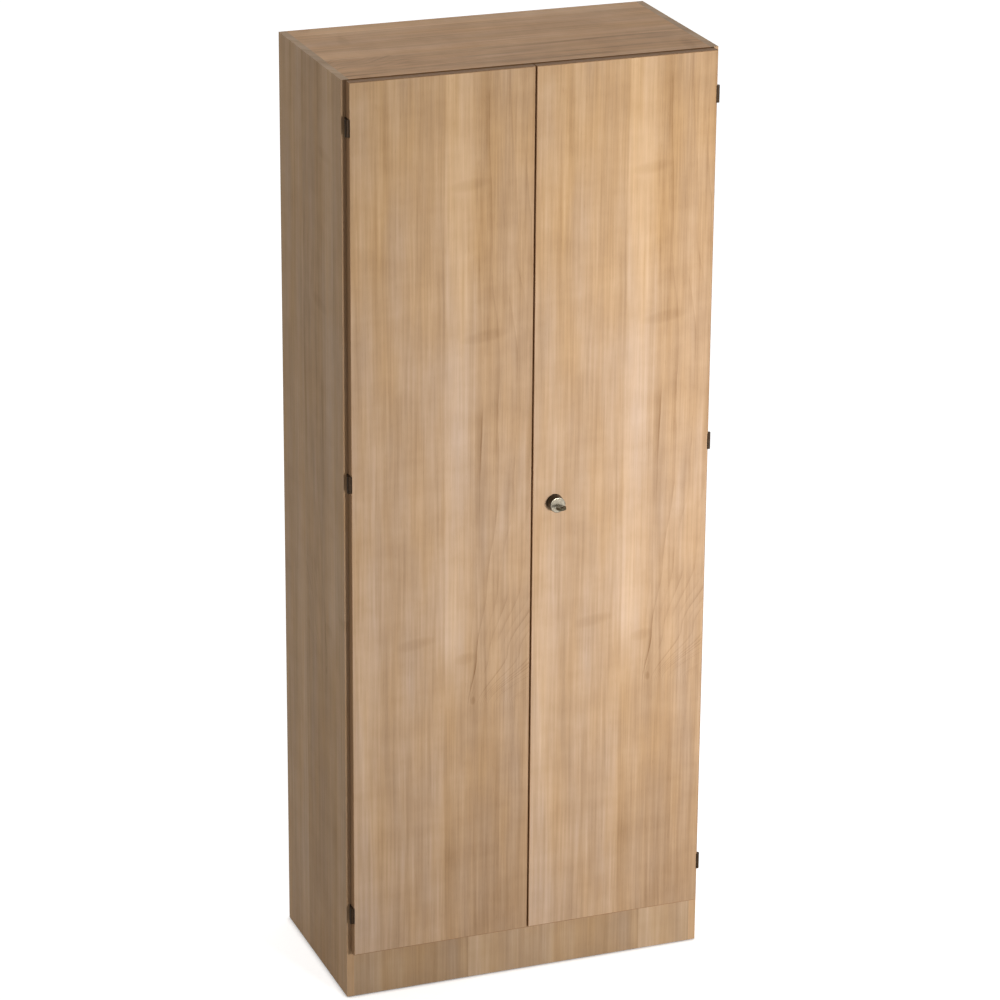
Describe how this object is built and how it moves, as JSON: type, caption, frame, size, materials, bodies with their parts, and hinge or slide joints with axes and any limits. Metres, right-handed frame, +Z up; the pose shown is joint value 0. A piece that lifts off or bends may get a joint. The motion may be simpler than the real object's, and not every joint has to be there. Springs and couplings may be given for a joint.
{
  "type": "office cabinet",
  "caption": "Tall wood-decor office cabinet with hinged doors, inner shelves, plinth base and a key-turned rod lock, for storing binders.",
  "frame": {"origin": "on the floor, in the middle of the overall width and of the overall depth with the key in its lock", "axes": "+X to the right seen from the front, +Y from the doors to the back, +Z up"},
  "size_m": [0.8, 0.468, 2.004],
  "materials": {
    "wood_decor": "light walnut decor board, satin",
    "edge_band": "darker plastic edging, satin",
    "hinge_metal": "dark bronzed steel",
    "nickel": "satin nickel",
    "zinc_steel": "bright zinc plate",
    "black_plastic": "moulded, matt",
    "brown_plastic": "moulded, matt",
    "soft_buffer": "soft clear rubber",
    "beech": "fluted beech"
  },
  "bodies": {
    "carcass": {"left_side_panel": "wood_decor", "right_side_panel": "wood_decor", "top_panel": "wood_decor", "bottom_panel": "wood_decor", "back_panel": "wood_decor", "plinth_board": "wood_decor", "rear_rail": "wood_decor", "lower_shelf": "wood_decor", "fixed_shelf": "wood_decor", "middle_shelf": "wood_decor", "upper_shelf": "wood_decor", "shelf_pins": "zinc_steel", "cam_discs": "zinc_steel", "cam_bolts": "zinc_steel", "dowels": "beech", "floor_glides": "brown_plastic", "left_hinge_pins": "hinge_metal", "right_hinge_pins": "hinge_metal", "frame_leaf_screws": "hinge_metal", "upper_strike": "zinc_steel", "lower_strike": "zinc_steel", "left_magnet_catch": "brown_plastic", "right_magnet_catch": "brown_plastic", "left_top_frame_leaf": "hinge_metal", "left_middle_frame_leaf": "hinge_metal", "left_bottom_frame_leaf": "hinge_metal", "right_top_frame_leaf": "hinge_metal", "right_middle_frame_leaf": "hinge_metal", "right_bottom_frame_leaf": "hinge_metal"},
    "left_door": {"left_door_panel": "wood_decor", "left_door_edge_band": "edge_band", "left_door_leaf_screws": "hinge_metal", "left_catch_plate": "zinc_steel", "left_door_buffers": "soft_buffer", "left_top_door_leaf": "hinge_metal", "left_middle_door_leaf": "hinge_metal", "left_bottom_door_leaf": "hinge_metal"},
    "right_door": {"right_door_panel": "wood_decor", "right_door_edge_band": "edge_band", "right_door_leaf_screws": "hinge_metal", "right_catch_plate": "zinc_steel", "right_door_buffers": "soft_buffer", "right_top_door_leaf": "hinge_metal", "right_middle_door_leaf": "hinge_metal", "right_bottom_door_leaf": "hinge_metal", "lock_rosette": "nickel", "lock_barrel": "nickel", "lock_case": "zinc_steel", "lock_case_screws": "zinc_steel", "rod_guides": "brown_plastic"},
    "lock_core": {"lock_plug": "nickel", "lock_pinion": "zinc_steel"},
    "key": {"key_blade": "nickel", "key_bow": "black_plastic"},
    "upper_rod": {"upper_rod": "zinc_steel"},
    "lower_rod": {"lower_rod": "zinc_steel"}
  },
  "joints": [
    {"name": "left_door_swing", "type": "hinge", "parent": "carcass", "child": "left_door", "pos_m": [-0.3935, -0.181, 0], "axis": [0, 0, -1], "range_deg": [0, 210]},
    {"name": "right_door_swing", "type": "hinge", "parent": "carcass", "child": "right_door", "pos_m": [0.3935, -0.181, 0], "axis": [0, 0, 1], "range_deg": [0, 210]},
    {"name": "lock_turn", "type": "hinge", "parent": "right_door", "child": "lock_core", "pos_m": [0.05, -0.206, 1.075], "axis": [0, 1, 0], "range_deg": [0, 90]},
    {"name": "upper_rod_slide", "type": "slide", "parent": "right_door", "child": "upper_rod", "axis": [0, 0, 1], "range_m": [0, 0.00942]},
    {"name": "lower_rod_slide", "type": "slide", "parent": "right_door", "child": "lower_rod", "axis": [0, 0, -1], "range_m": [0, 0.0095]},
    {"name": "key_pull", "type": "slide", "parent": "lock_core", "child": "key", "axis": [0, -1, 0], "range_m": [0, 0.05]}
  ],
  "couplings": [
    {"joint": "lock_turn", "follows": "upper_rod_slide", "rad_per_m": 166.67},
    {"joint": "lower_rod_slide", "follows": "upper_rod_slide", "ratio": 1}
  ]
}
